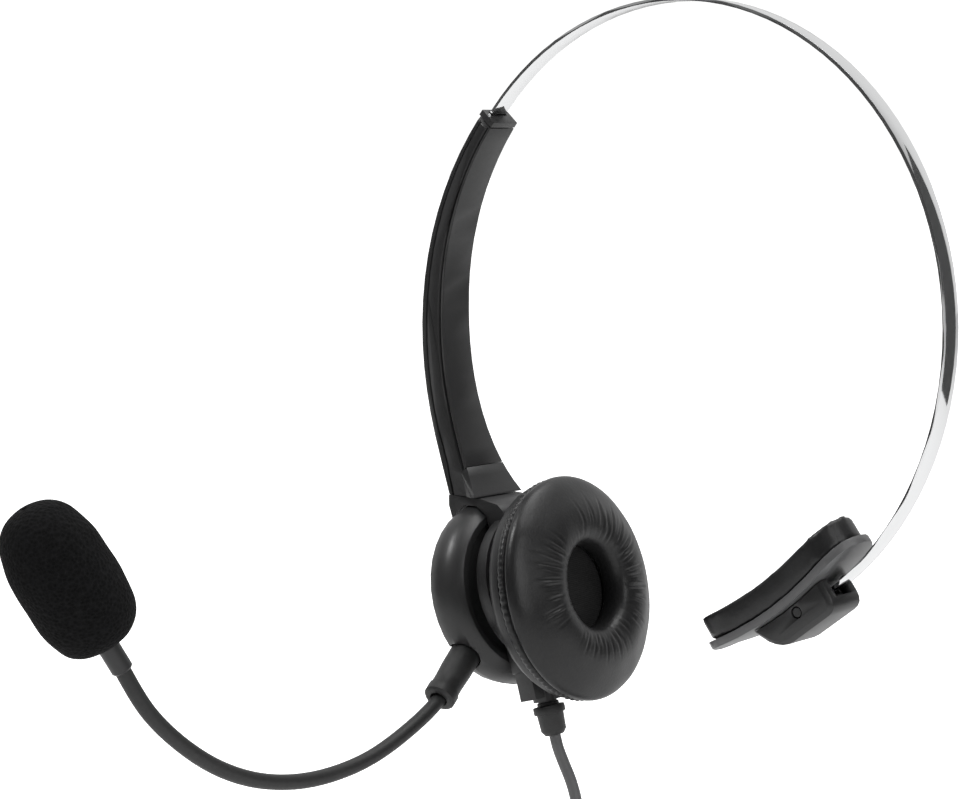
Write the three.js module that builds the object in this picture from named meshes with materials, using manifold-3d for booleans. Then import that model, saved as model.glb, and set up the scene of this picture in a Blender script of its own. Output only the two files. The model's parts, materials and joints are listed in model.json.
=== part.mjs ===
// Office headset for one ear: a sprung steel strip that slides in a plastic arm, an ear cup with a
// leatherette cushion, a microphone boom on a turret and a temple pad at the far end of the strip.
// Millimetres, +Z up. The origin is the centre of the headband loop, which is the middle of the
// wearer's head. +X runs from the ear cup to the temple pad and the wearer looks along -Y.

import * as THREE from 'three';
import { mergeVertices } from 'three/addons/utils/BufferGeometryUtils.js';
import Module from 'manifold-3d';

const wasm = await Module();
wasm.setup();

// ---------------------------------------------------------------- driving dimensions

const GAP = 0.3;

// Headband: angles are measured from the top of the loop, positive towards the temple pad.
const LOOP_R = 72;
const STRIP_T = 0.8;
const STRIP_W = 5;
const STRIP_END_IN_ARM = -95;
const STRIP_END_IN_PAD = 144.6;
const STRIP_STEPS = 36;

// Arm
const ARM_TOP = -49.5;
const ARM_BOTTOM = -127;
const ARM_FLOOR = -46.2;
const ARM_OUT_R_TOP = 73.5;
const ARM_OUT_R_GROWTH = 6.6;
const ARM_IN_R_TOP = 68.6;
const ARM_IN_R_GROWTH = 2.7;
const ARM_W_TOP = 8.4;
const ARM_W_SLOPE = 1.6;
const ARM_W_FLARE = 4.8;
const COVER_SHARE = 0.11;
const COVER_END = -123.6;
const COVER_GAP_DEGREES = 0.15;
const SHOE_HALF_T = 1.2;
const SHOE_W = 6.4;
const SHOE_START = -99;
const SHOE_END = -92;
const TRAVEL_IN = 8;
const TRAVEL_OUT = 22;
const SPRING_FROM = -66;
const SPRING_TO = -56;
const SPRING_IN_R = 70.9;

// Ear cup: the axis leans up from the level by CUP_TILT and is turned back by CUP_TURN.
const CUP_CENTRE = new THREE.Vector3(-31, 0, -66.7);
const CUP_TILT = 15;
const CUP_TURN = 5;
const CUP_R = 26;
const CUP_BACK = -7.2;
const CUSHION_R = 27.2;
const CUSHION_HOLE_R = 10;
const CUSHION_CREST = 9.2;
const BALL_R = 2.2;
const BALL_Z = -6;

// Turret, with its own lean
const TURRET_CENTRE = new THREE.Vector3(-46.4, 0, -68.3);
const TURRET_TILT = 17;
const TURRET_R = 23.2;
const TURRET_RIM_R = 19.8;
const TURRET_DEPTH = 12;
const TURRET_WALL = 1.6;
const TURRET_EYE_R = 14.4;
const SPINDLE_R = 4;
const PLATE_R = 18.5;
const PLATE_Z0 = 2.8;
const PLATE_Z1 = 6;

// Boom
const BOOM_Z = -6.5;
const TUBE_R = 1.75;
const BOOT_R = 3.9;

// Temple pad
const PAD_CENTRE = new THREE.Vector3(28.5, 0, -53.5);
const PAD_ANGLE = 38;
const PAD_L = 45;
const PAD_W = 17;
const PAD_T = 5.6;
const PAD_DIP = 3;
const PLATE_T = 1.8;
const HUB_W = 12;
const PIVOT_X = 3.4;
const PIVOT_Z = -12.6;

// Cord
const CORD_R = 1.45;
const COIL_MEAN_R = 17;
const COIL_HALF = 6;

// ---------------------------------------------------------------- materials

function finish(colour, roughness, metalness = 0) {
  return new THREE.MeshStandardMaterial({ color: colour, roughness, metalness });
}

const finishes = {
  blackPlastic: () => finish(0x1c1c1d, 0.5),
  satinPlastic: () => finish(0x262627, 0.4),
  rubber: () => finish(0x19191a, 0.75),
  leatherette: () => finish(0x1d1d1e, 0.45),
  foam: () => finish(0x101011, 0.98),
  cloth: () => finish(0x0c0c0d, 0.95),
  polishedSteel: () => finish(0xd9dadc, 0.12, 1),
  springSteel: () => finish(0xa8a9ab, 0.35, 1),
  circuitBoard: () => finish(0x1f5a33, 0.5),
  film: () => finish(0xc9bf9a, 0.4),
  gold: () => finish(0xd8b25a, 0.25, 1),
};

// ---------------------------------------------------------------- geometry helpers

const group = new THREE.Group();

function part(name, geometry, material, parent = group) {
  const mesh = new THREE.Mesh(geometry, material());
  mesh.name = name;
  parent.add(mesh);
  return mesh;
}

function toSolid(geometry) {
  const bare = geometry.clone();
  bare.deleteAttribute('normal');
  bare.deleteAttribute('uv');
  const merged = mergeVertices(bare, 1e-5);
  const vertProperties = new Float32Array(merged.attributes.position.array);
  const triVerts = new Uint32Array(merged.index.array);
  return new wasm.Manifold(new wasm.Mesh({ numProp: 3, vertProperties, triVerts }));
}

function toGeometry(solid) {
  const mesh = solid.getMesh();
  const geometry = new THREE.BufferGeometry();
  geometry.setAttribute('position', new THREE.BufferAttribute(mesh.vertProperties, 3));
  geometry.setIndex(new THREE.BufferAttribute(mesh.triVerts, 1));
  return geometry;
}

function cut(base, ...tools) {
  let solid = toSolid(base);
  for (const tool of tools) solid = solid.subtract(toSolid(tool));
  return toGeometry(solid);
}

function join(base, ...others) {
  let solid = toSolid(base);
  for (const other of others) solid = solid.add(toSolid(other));
  return toGeometry(solid);
}

function overlap(base, other) {
  return toGeometry(toSolid(base).intersect(toSolid(other)));
}

// A round part about local Z. The profile is [radius, z] pairs, from low z to high z on the outside.
function turned(profile, segments = 32) {
  const points = profile.map(([radius, z]) => new THREE.Vector2(radius, z));
  return new THREE.LatheGeometry(points, segments).rotateX(Math.PI / 2);
}

function turnedRing(innerR, outerR, z0, z1, segments = 32) {
  const profile = [[innerR, z0], [outerR, z0], [outerR, z1], [innerR, z1], [innerR, z0]];
  return turned(profile, segments);
}

function disc(radius, z0, z1, segments = 20) {
  return new THREE.CylinderGeometry(radius, radius, z1 - z0, segments)
    .rotateX(Math.PI / 2)
    .translate(0, 0, (z0 + z1) / 2);
}

// A bar along Y with a round section
function barY(radius, length, segments = 16) {
  return new THREE.CylinderGeometry(radius, radius, length, segments);
}

function block(x0, x1, y0, y1, z0, z1) {
  return new THREE.BoxGeometry(x1 - x0, y1 - y0, z1 - z0)
    .translate((x0 + x1) / 2, (y0 + y1) / 2, (z0 + z1) / 2);
}

// An outline drawn in X and Z, given a width along Y and centred on Y = 0
function acrossY(shape, width, bevel = 0, curveSegments = 12) {
  return new THREE.ExtrudeGeometry(shape, {
    depth: width - 2 * bevel,
    bevelEnabled: bevel > 0,
    bevelSize: bevel,
    bevelThickness: bevel,
    bevelOffset: -bevel,
    bevelSegments: 1,
    curveSegments,
  }).rotateX(Math.PI / 2).translate(0, width / 2 - bevel, 0);
}

const radians = THREE.MathUtils.degToRad;

// A length of the loop between two angles from the top and two radii
function loopSector(innerR, outerR, fromAngle, toAngle) {
  const start = radians(90 - toAngle);
  const end = radians(90 - fromAngle);
  const shape = new THREE.Shape();
  shape.absarc(0, 0, outerR, start, end, false);
  shape.absarc(0, 0, innerR, end, start, true);
  return shape;
}

function onLoop(radius, angle, y = 0) {
  const a = radians(angle);
  return new THREE.Vector3(radius * Math.sin(a), y, radius * Math.cos(a));
}

// A round bar that points along the loop's radius at an angle
function radialBar(radius, innerR, outerR, angle, segments = 12) {
  return disc(radius, innerR, outerR, segments).rotateY(radians(angle));
}

// A group whose local Z leans up by tilt and points towards the head; local Y is up, local X is back
function leaningFrame(centre, tilt, turn = 0) {
  const towardsHead = new THREE.Vector3(Math.cos(radians(tilt)), 0, Math.sin(radians(tilt)));
  const up = new THREE.Vector3(-Math.sin(radians(tilt)), 0, Math.cos(radians(tilt)));
  const back = new THREE.Vector3(0, 1, 0);
  const vertical = new THREE.Vector3(0, 0, 1);
  for (const axis of [towardsHead, up, back]) axis.applyAxisAngle(vertical, radians(turn));
  const frame = new THREE.Group();
  frame.quaternion.setFromRotationMatrix(new THREE.Matrix4().makeBasis(back, up, towardsHead));
  frame.position.copy(centre);
  group.add(frame);
  return frame;
}

const turretFrame = leaningFrame(TURRET_CENTRE, TURRET_TILT);
const cupFrame = leaningFrame(CUP_CENTRE, CUP_TILT, CUP_TURN);

function padFrameGroup() {
  const a = radians(PAD_ANGLE);
  const along = new THREE.Vector3(Math.cos(a), 0, Math.sin(a));
  const inward = new THREE.Vector3(-Math.sin(a), 0, Math.cos(a));
  const back = new THREE.Vector3(0, 1, 0);
  const frame = new THREE.Group();
  frame.quaternion.setFromRotationMatrix(new THREE.Matrix4().makeBasis(along, back, inward));
  frame.position.copy(PAD_CENTRE);
  group.add(frame);
  return frame;
}

const padFrame = padFrameGroup();

// Geometry made in one frame and wanted in another
function moved(geometry, fromFrame, toFrame) {
  fromFrame.updateMatrixWorld(true);
  toFrame.updateMatrixWorld(true);
  const matrix = toFrame.matrixWorld.clone().invert().multiply(fromFrame.matrixWorld);
  return geometry.clone().applyMatrix4(matrix);
}

// ---------------------------------------------------------------- headband strip

function stripGeometry() {
  const inner = LOOP_R - STRIP_T / 2;
  const outer = LOOP_R + STRIP_T / 2;
  const shape = loopSector(inner, outer, STRIP_END_IN_ARM, STRIP_END_IN_PAD);
  const strip = acrossY(shape, STRIP_W, 0, STRIP_STEPS);
  const holeR = 1.1;
  const stopHole = radialBar(holeR, inner - 1, outer + 1, (SHOE_START + SHOE_END) / 2 + 1.4);
  const padHole = radialBar(holeR, inner - 1, outer + 1, STRIP_END_IN_PAD - 2);
  return cut(strip, stopHole, padHole);
}
part('headband_strip', stripGeometry(), finishes.polishedSteel);

function slotTool(halfT, width, fromAngle, toAngle, steps = 24) {
  return acrossY(loopSector(LOOP_R - halfT, LOOP_R + halfT, fromAngle, toAngle), width, 0, steps);
}

function stopShoe() {
  const shoe = slotTool(SHOE_HALF_T, SHOE_W, SHOE_START, SHOE_END, 4);
  const pocket = slotTool(STRIP_T / 2 + GAP, STRIP_W + 2 * GAP, STRIP_END_IN_ARM - GAP, SHOE_END + 1, 4);
  const rivetHole = radialBar(1.1, LOOP_R - 3, LOOP_R + 3, (SHOE_START + SHOE_END) / 2 + 1.4);
  return cut(shoe, pocket, rivetHole);
}
part('strip_stop_shoe', stopShoe(), finishes.satinPlastic);

const stopRivet = radialBar(0.8, LOOP_R - SHOE_HALF_T, LOOP_R + SHOE_HALF_T, (SHOE_START + SHOE_END) / 2 + 1.4);
part('strip_stop_rivet', stopRivet, finishes.springSteel);

// ---------------------------------------------------------------- arm

// How far along the arm an angle is: 0 at its mouth, 1 at its foot
function alongArm(angle) {
  return THREE.MathUtils.clamp((ARM_TOP - angle) / (ARM_TOP - ARM_BOTTOM), 0, 1.1);
}

// The arm thickens outwards all the way down, leaves the circle inside from its middle and flares at its foot.
function armOutR(angle) {
  return ARM_OUT_R_TOP + ARM_OUT_R_GROWTH * alongArm(angle) ** 1.25;
}

function armInR(angle) {
  const belowMiddle = THREE.MathUtils.clamp((-90 - angle) / 39, 0, 1.2);
  return ARM_IN_R_TOP + ARM_IN_R_GROWTH * belowMiddle ** 1.3;
}

function armWidth(angle) {
  return ARM_W_TOP + ARM_W_SLOPE * alongArm(angle) + ARM_W_FLARE * alongArm(angle) ** 10;
}

// A length of the arm. Depth runs from 0 at the face by the head to 1 at the outer face.
const DEPTH_BASE_R = 60;
const DEPTH_SCALE = 10;

function armLength(depth0, depth1, fromAngle, toAngle, { bevel = 0, share = 1, steps = ARM_STEPS } = {}) {
  const inner = DEPTH_BASE_R + depth0 * DEPTH_SCALE;
  const outer = DEPTH_BASE_R + depth1 * DEPTH_SCALE;
  const geometry = acrossY(loopSector(inner, outer, fromAngle, toAngle), ARM_W_TOP * share, bevel, steps);
  const position = geometry.attributes.position;
  for (let i = 0; i < position.count; i += 1) {
    const x = position.getX(i);
    const z = position.getZ(i);
    const angle = THREE.MathUtils.radToDeg(Math.atan2(x, z));
    const depth = (Math.hypot(x, z) - DEPTH_BASE_R) / DEPTH_SCALE;
    const radius = THREE.MathUtils.lerp(armInR(angle), armOutR(angle), depth);
    const point = onLoop(radius, angle, position.getY(i) * armWidth(angle) / ARM_W_TOP);
    position.setXYZ(i, point.x, point.y, point.z);
  }
  return geometry;
}

const ARM_STEPS = 10;

function stripWay() {
  const narrow = slotTool(STRIP_T / 2 + GAP, STRIP_W + 2 * GAP, SHOE_END + TRAVEL_OUT + 1, ARM_TOP + 3, 10);
  const wide = slotTool(
    SHOE_HALF_T + GAP,
    SHOE_W + 2 * GAP,
    SHOE_START - TRAVEL_IN - 2,
    SHOE_END + TRAVEL_OUT + 2,
    10,
  );
  const springPocket = acrossY(loopSector(SPRING_IN_R - GAP, LOOP_R, SPRING_FROM - 1, SPRING_TO + 1), 4, 0, 3);
  return join(wide, narrow, springPocket);
}

const CAP_DEGREES = 1.2;
const SHELL_TOP = ARM_TOP - CAP_DEGREES - 0.3;
const coverScrewAngle = -115;
const GROOVE_DEPTH_SHARE = 0.93;

function armOuterShell() {
  const upper = armLength(COVER_SHARE + 0.05, 1, ARM_BOTTOM - 9, SHELL_TOP, { bevel: 0.9 });
  const heel = armLength(0, COVER_SHARE + 0.15, ARM_BOTTOM - 9, COVER_END - COVER_GAP_DEGREES, { steps: 3 });
  const below = block(-90, 0, -20, 20, -90, ARM_FLOOR);
  const band = armLength(0.66, 0.73, ARM_BOTTOM - 9, ARM_TOP, { share: 2 });
  const core = armLength(-0.2, 1.2, ARM_BOTTOM - 10, ARM_TOP + 2, { share: GROOVE_DEPTH_SHARE });
  const groove = cut(band, core);
  const screwHole = radialBar(1.1, 60, 82, coverScrewAngle);
  const screwSeat = radialBar(2.1, 75.6, 82, coverScrewAngle);
  return cut(join(upper, heel), below, stripWay(), groove, screwHole, screwSeat);
}
part('arm_outer_shell', armOuterShell(), finishes.blackPlastic);
part('arm_inner_cover', armLength(0, COVER_SHARE, COVER_END, SHELL_TOP), finishes.satinPlastic);

function armMouthCap() {
  const cap = armLength(0, 1, ARM_TOP - CAP_DEGREES, ARM_TOP, { steps: 2 });
  return cut(cap, slotTool(STRIP_T / 2 + GAP, STRIP_W + 2 * GAP, ARM_TOP - 4, ARM_TOP + 4, 4));
}
part('arm_mouth_cap', armMouthCap(), finishes.satinPlastic);

// A small leaf spring rubs on the strip and holds it where it is put. Its pocket opens onto the way.
function detentSpring() {
  return acrossY(loopSector(SPRING_IN_R, SPRING_IN_R + 0.4, SPRING_FROM, SPRING_TO), 3.2, 0, 3);
}
part('detent_spring', detentSpring(), finishes.springSteel);

function countersunkScrew(length, threadR = 0.8, headR = 1.8) {
  const profile = [[0, 0], [threadR, 0], [threadR, length - 1], [headR, length], [0.7, length], [0.7, length - 0.6],
    [0, length - 0.6]];
  return turned(profile, 14);
}

const coverScrew = countersunkScrew(5.6).translate(0, 0, 71.8).rotateY(radians(coverScrewAngle));
part('arm_screw', coverScrew, finishes.springSteel);

// ---------------------------------------------------------------- bracket between arm, turret and cup

const RELIEF_X = -4.3;
const RELIEF_Z = 4;
const SPINDLE_END = -4.6;
const STUD_R = 1.1;
const STUD_END = -11.6;
const TURRET_CLEARANCE = 0.5;

// The turret's outside, from its rim beside the bracket to its flat outer face
function turretOutline(extra = 0) {
  return [
    [TURRET_RIM_R + extra, -0.3 + extra],
    [22.3 + extra, -2.4],
    [TURRET_R + extra, -6],
    [22.3 + extra, -9.2],
    [19 + extra, -11.4 - extra],
    [TURRET_EYE_R, -TURRET_DEPTH - extra],
  ];
}

function turretSpace() {
  const outside = turretOutline(TURRET_CLEARANCE).reverse();
  return turned([[0, -TURRET_DEPTH - 9], [22, -TURRET_DEPTH - 9], ...outside.slice(1), [0, outside.at(-1)[1]]], 40);
}

// The shoulder reaches from the arm over the turret's rim to the round plate.
function bracketShoulder() {
  const outline = new THREE.Shape([
    new THREE.Vector2(-10.6, 26.2),
    new THREE.Vector2(-11.4, 23.6),
    new THREE.Vector2(-11, 17),
    new THREE.Vector2(0.3, 17),
    new THREE.Vector2(0.3, 8),
    new THREE.Vector2(PLATE_Z1, 8),
    new THREE.Vector2(PLATE_Z1, 18.6),
    new THREE.Vector2(4.6, 20.6),
    new THREE.Vector2(-1, 23.2),
  ]);
  const width = armWidth(ARM_BOTTOM);
  // The outline is drawn as (z, y) of the turret frame and extruded along its x.
  const slab = new THREE.ExtrudeGeometry(outline, { depth: width, bevelEnabled: false })
    .translate(0, 0, -width / 2)
    .rotateY(-Math.PI / 2);
  const aboveArmFloor = moved(block(-90, 0, -20, 20, ARM_FLOOR - GAP, 0), group, turretFrame);
  return cut(slab, aboveArmFloor, turretSpace());
}

function bracketSkirt() {
  const ring = turnedRing(12, 22.6, 0.3, PLATE_Z1, 36);
  return overlap(ring, block(-10.5, 10.5, -26, -8, 0, 10));
}

function bracket() {
  const disk = turned([[0, PLATE_Z0], [PLATE_R, PLATE_Z0], [PLATE_R, PLATE_Z1], [0, PLATE_Z1]], 36);
  const spindle = turned([
    [0, SPINDLE_END], [SPINDLE_R, SPINDLE_END], [SPINDLE_R, -4], [3.2, -4], [3.2, -3.1], [SPINDLE_R, -3.1],
    [SPINDLE_R, 0.3], [9, 0.3], [9, PLATE_Z0 + 0.5], [0, PLATE_Z0 + 0.5],
  ], 32);
  const outlet = disc(3.4, 17, 28, 20).rotateX(Math.PI / 2).translate(RELIEF_X, 0, RELIEF_Z);
  const tab = block(-10.2, RELIEF_X, -27, -17, 0.9, PLATE_Z1);
  const cordWay = disc(1.8, 14, 30, 16).rotateX(Math.PI / 2).translate(RELIEF_X, 0, RELIEF_Z);
  const wireHole = disc(1.2, -12, PLATE_Z1 + 5, 16);
  const studHole = moved(disc(STUD_R + GAP, STUD_END, 0, 16), cupFrame, turretFrame);
  const whole = join(disk, spindle, bracketShoulder(), bracketSkirt(), outlet, tab);
  const flatFront = block(-12, 4, -30, -16, PLATE_Z1 + 0.2, PLATE_Z1 + 4);
  return cut(whole, flatFront, cordWay, wireHole, studHole);
}
part('bracket', bracket(), finishes.blackPlastic, turretFrame);

// A ball stud pressed in the bracket carries the ear cup.
function ballStud() {
  const ball = new THREE.SphereGeometry(BALL_R, 12, 8).translate(0, 0, BALL_Z);
  const stem = disc(STUD_R, STUD_END, BALL_Z - 1.5, 14);
  return join(ball, stem);
}
part('cup_ball_stud', ballStud(), finishes.springSteel, cupFrame);

// ---------------------------------------------------------------- turret and boom

function boomFrameGroup() {
  const frame = new THREE.Group();
  frame.position.set(0, 0, BOOM_Z);
  turretFrame.add(frame);
  return frame;
}

const boomFrame = boomFrameGroup();

// In the boom's own frame the tube starts along the turret's radius, forwards and down.
const BOOM_DOWN = 36;
const bootDirection = new THREE.Vector3(-Math.cos(radians(BOOM_DOWN)), -Math.sin(radians(BOOM_DOWN)), 0);

function alongBoot(distance) {
  return bootDirection.clone().multiplyScalar(distance);
}

// A turned piece about local Z laid along the boot, its z = 0 at the turret's axis
function laidAlongBoot(geometry) {
  const turn = new THREE.Quaternion().setFromUnitVectors(new THREE.Vector3(0, 0, 1), bootDirection);
  return geometry.applyQuaternion(turn);
}

function turretDome() {
  const profile = [
    ...turretOutline().reverse(),
    [TURRET_RIM_R - TURRET_WALL, -0.3],
    [TURRET_R - TURRET_WALL, -5.6],
    [20.6, -8.6],
    [18, -9.8],
    [TURRET_EYE_R, -10.3],
    [TURRET_EYE_R, -TURRET_DEPTH],
  ];
  const notch = laidAlongBoot(disc(BOOT_R + GAP, 15, 27, 24)).translate(0, 0, BOOM_Z);
  return cut(turned(profile, 36), notch);
}
part('turret_dome', turretDome(), finishes.satinPlastic, turretFrame);

function turretCap() {
  const face = -TURRET_DEPTH - 0.3;
  return turned([[0, face], [13.4, face], [14, -TURRET_DEPTH], [14, -10.4], [0, -10.4]], 28);
}
part('turret_cap', turretCap(), finishes.blackPlastic, turretFrame);

const baseTop = -1.2;
const baseBottom = -2.8;

function turretBase() {
  const plate = turnedRing(SPINDLE_R + GAP, 17.8, baseBottom, baseTop, 28);
  const clearance = laidAlongBoot(disc(BOOT_R + GAP, 12, 22, 20)).translate(0, 0, BOOM_Z);
  return cut(plate, clearance);
}
part('turret_base', turretBase(), finishes.satinPlastic, turretFrame);

// The clip snaps in the spindle's groove and keeps the turret on.
function turretClip() {
  const ring = turnedRing(3.5, 6.2, -3.9, -3.3, 20);
  return cut(ring, block(-2, 2, 2, 8, -5, -2));
}
part('turret_clip', turretClip(), finishes.springSteel, turretFrame);

part('turret_wave_washer', turnedRing(SPINDLE_R + 0.6, 8.4, -0.7, -0.1, 20), finishes.springSteel, turretFrame);

// The boot: a fat root, a step and a slimmer end
function boomBoot() {
  const bore = TUBE_R + 0.35;
  const profile = [
    [bore, 15.4], [BOOT_R - 0.1, 15.4], [BOOT_R - 0.1, 27], [3.6, 31], [3.6, 33.6], [3.9, 34], [3.9, 36.4], [3.4, 37],
    [bore, 37], [bore, 15.4],
  ];
  return laidAlongBoot(turned(profile, 20));
}
part('boom_boot', boomBoot(), finishes.rubber, boomFrame);

// The gooseneck leaves along the boot and sweeps forwards and up, leaning in towards the mouth.
const boomPoints = [
  alongBoot(17),
  alongBoot(30),
  alongBoot(38),
  new THREE.Vector3(-52.2, -29.8, 0.6),
  new THREE.Vector3(-67.5, -31.7, 1.2),
  new THREE.Vector3(-81.5, -30.8, 2),
  new THREE.Vector3(-94.4, -27.2, 2.9),
  new THREE.Vector3(-106.1, -20.6, 4),
  new THREE.Vector3(-117.5, -9.5, 5.4),
  new THREE.Vector3(-124.7, 4.3, 6.7),
];
const boomCurve = new THREE.CatmullRomCurve3(boomPoints, false, 'centripetal');

function roundSection(radius, sides) {
  const corner = (index) => {
    const angle = 2 * Math.PI * index / sides;
    return new THREE.Vector2(radius * Math.cos(angle), radius * Math.sin(angle));
  };
  return new THREE.Shape(Array.from({ length: sides }, (_, index) => corner(index)));
}

function tube(curve, radius, sides, steps) {
  return new THREE.ExtrudeGeometry(roundSection(radius, sides), { extrudePath: curve, steps, bevelEnabled: false });
}
part('boom_tube', tube(boomCurve, TUBE_R, 8, 40), finishes.rubber, boomFrame);

function micFrameGroup() {
  const frame = new THREE.Group();
  const end = boomCurve.getPoint(1);
  const heading = boomCurve.getTangent(1);
  frame.position.copy(end);
  frame.quaternion.setFromUnitVectors(new THREE.Vector3(0, 0, 1), heading);
  boomFrame.add(frame);
  return frame;
}

// The microphone's own frame: local Z runs on from the end of the tube
const micFrame = micFrameGroup();

function micCollar() {
  return turned([[2, -4], [2.35, -3.6], [2.35, 4.4], [2, 4.4], [2, -4]], 16);
}
part('mic_collar', micCollar(), finishes.satinPlastic, micFrame);

function micHousing() {
  const shell = turned([
    [0, 0.4], [1.7, 0.4], [1.7, 4.8], [3.6, 4.8], [4.6, 6], [4.6, 17.2], [3.6, 17.2], [3.6, 8], [0, 8],
  ], 20);
  const slots = [0, 90].map((turn) => block(-6, 6, -0.6, 0.6, 12.4, 18).rotateZ(radians(turn)));
  return cut(shell, ...slots);
}
part('mic_housing', micHousing(), finishes.satinPlastic, micFrame);

part('mic_capsule', disc(3, 11, 13.6, 20), finishes.springSteel, micFrame);

// The foam slips over the housing. It is hollow, with its mouth at the tube's end.
function micWindscreen() {
  const profile = [
    [2.8, 3], [5.6, 3.3], [8.2, 5.2], [9.8, 8.8], [10.4, 14], [10.4, 21.5], [9.8, 27], [8.3, 31.6], [5.9, 34.6],
    [2.8, 36], [0, 36.3], [0, 18.9], [4.9, 18.4], [4.9, 5.4], [2.8, 4.2], [2.8, 3],
  ];
  return turned(profile, 26);
}
part('mic_windscreen', micWindscreen(), finishes.foam, micFrame);

// ---------------------------------------------------------------- ear cup

const SHELL_FRONT = -1.2;

const BAFFLE_SCREW_R = 19;
const screwTurns = [90, 210, 330];

function atTurn(geometry, turn) {
  return geometry.translate(BAFFLE_SCREW_R, 0, 0).rotateZ(radians(turn));
}

function cupShell() {
  const profile = [
    [5.8, CUP_BACK], [8, CUP_BACK], [22.2, -5.6], [24.8, -4.6], [CUP_R, -2.8], [CUP_R, SHELL_FRONT],
    [24.4, SHELL_FRONT], [24.2, -2.6], [22.6, -3.6], [8, -5.7], [5.8, -5.7], [5.8, CUP_BACK],
  ];
  const bosses = screwTurns.map((turn) => atTurn(disc(2.1, -5, SHELL_FRONT, 14), turn));
  const pilots = screwTurns.map((turn) => atTurn(disc(1.1, -4.5, 2, 12), turn));
  return cut(join(turned(profile, 36), ...bosses), ...pilots);
}
part('cup_shell', cupShell(), finishes.blackPlastic, cupFrame);

// The socket holds the ball stud and is clipped in the shell's middle.
function cupSocket() {
  const cavity = BALL_R + GAP;
  const profile = [[1.8, BALL_Z - 1.7], [5.5, BALL_Z - 1.7], [5.5, BALL_Z + 1.8]];
  const arc = [50, 25, 0, -25, -40].map((angle) => [
    cavity * Math.cos(radians(angle)), BALL_Z + cavity * Math.sin(radians(angle)),
  ]);
  return turned([...profile, [arc[0][0], BALL_Z + 1.8], ...arc.slice(1), profile[0]], 24);
}
part('cup_socket', cupSocket(), finishes.satinPlastic, cupFrame);

// The baffle closes the shell's front and carries the speaker and the cushion's lip.
function cupBaffle() {
  const holes = screwTurns.map((turn) => atTurn(disc(1.1, -2, 2, 12), turn));
  return cut(turnedRing(14.4, 25, -0.9, 0.2, 36), ...holes);
}
part('cup_baffle', cupBaffle(), finishes.blackPlastic, cupFrame);

function baffleScrew() {
  return turned([[0, -4.2], [0.8, -4.2], [0.8, 0.5], [1.7, 0.5], [1.4, 1.3], [0, 1.3]], 14);
}
for (const [index, turn] of screwTurns.entries()) {
  part(`baffle_screw_${index + 1}`, atTurn(baffleScrew(), turn), finishes.springSteel, cupFrame);
}

function speakerBasket() {
  return turned([
    [7.6, -2.6], [12, -2.2], [13.9, -1.2], [13.9, 0.8], [12.6, 0.8], [12.2, -0.8], [7.6, -1.8], [7.6, -2.6],
  ], 22);
}
part('speaker_basket', speakerBasket(), finishes.springSteel, cupFrame);
part('speaker_magnet', disc(7.2, -3.4, -1.6, 20), finishes.springSteel, cupFrame);

function speakerDiaphragm() {
  return turned([[0, -0.4], [5, -0.7], [12, -0.3], [12, 0], [5, -0.3], [0, 0.1]], 24);
}
part('speaker_diaphragm', speakerDiaphragm(), finishes.film, cupFrame);

part('acoustic_cloth', disc(13.6, 1.1, 1.5, 28), finishes.cloth, cupFrame);

function terminalBoard() {
  return block(-17, -10, -3.5, 3.5, -3.4, -2.6);
}
part('speaker_terminals', terminalBoard(), finishes.circuitBoard, cupFrame);

// The cushion's cover: a sleeve of thin leatherette, crowned at the front and open at the back
// Each row: radius, height, and the way in which the skin's thickness is taken off (outwards, forwards).
const CUSHION_PROFILE = [
  [26.2, 0.5, 1, 0], [CUSHION_R, 1.6, 1, 0], [26.8, 3.4, 0.95, 0.3], [24.9, 5.1, 0.7, 0.7],
  [22, 6.9, 0.5, 0.87], [18.6, 8.5, 0.35, 0.94], [15.4, CUSHION_CREST, 0, 1], [12.6, 8.8, -0.5, 0.87],
  [11.1, 7.8, -0.8, 0.6], [10.2, 6, -1, 0.1], [CUSHION_HOLE_R, 4, -1, 0], [10.3, 1.8, -1, 0],
];

function cushionOuter(inset = 0) {
  return CUSHION_PROFILE.map(([radius, z, outwards, forwards]) => [
    radius - inset * outwards, z - inset * forwards,
  ]);
}

function cushionCover() {
  const outer = cushionOuter();
  const inner = cushionOuter(0.9).reverse();
  return turned([...outer, ...inner, outer[0]], 36);
}

part('ear_cushion_cover', cushionCover(), finishes.leatherette, cupFrame);

function cushionFoam() {
  const outer = cushionOuter(1.25);
  const base = [[12.6, 1.9], [24, 1.9]];
  return turned([...base, ...outer.slice(1, -1), base[0]], 24);
}
part('ear_cushion_foam', cushionFoam(), finishes.foam, cupFrame);

// ---------------------------------------------------------------- temple pad

// A pad outline with round ends, in the pad's own length and width
function padOutline(length, width) {
  const r = width / 2;
  const straight = length / 2 - r;
  const shape = new THREE.Shape();
  shape.absarc(straight, 0, r, -Math.PI / 2, Math.PI / 2, false);
  shape.absarc(-straight, 0, r, Math.PI / 2, 3 * Math.PI / 2, false);
  return shape;
}

// The pad dips along its length to follow the temple.
function dipped(geometry) {
  const position = geometry.attributes.position;
  for (let i = 0; i < position.count; i += 1) {
    const along = position.getX(i) / (PAD_L / 2);
    position.setZ(i, position.getZ(i) - PAD_DIP * Math.max(0, 1 - along * along));
  }
  return geometry;
}

// The flat slab is cut in strips across its length so that it can dip.
function padSlab(length, width, z0, z1) {
  const strips = 8;
  const flat = new THREE.ExtrudeGeometry(padOutline(length, width), {
    depth: z1 - z0,
    bevelEnabled: false,
    curveSegments: 5,
  }).translate(0, 0, z0);
  const step = length / strips;
  const pieces = Array.from({ length: strips }, (_, index) => {
    const x0 = -length / 2 + index * step;
    return toSolid(flat).intersect(toSolid(block(x0, x0 + step, -width, width, z0 - 1, z1 + 1)));
  });
  return dipped(toGeometry(pieces.reduce((whole, piece) => whole.add(piece))));
}

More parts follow.
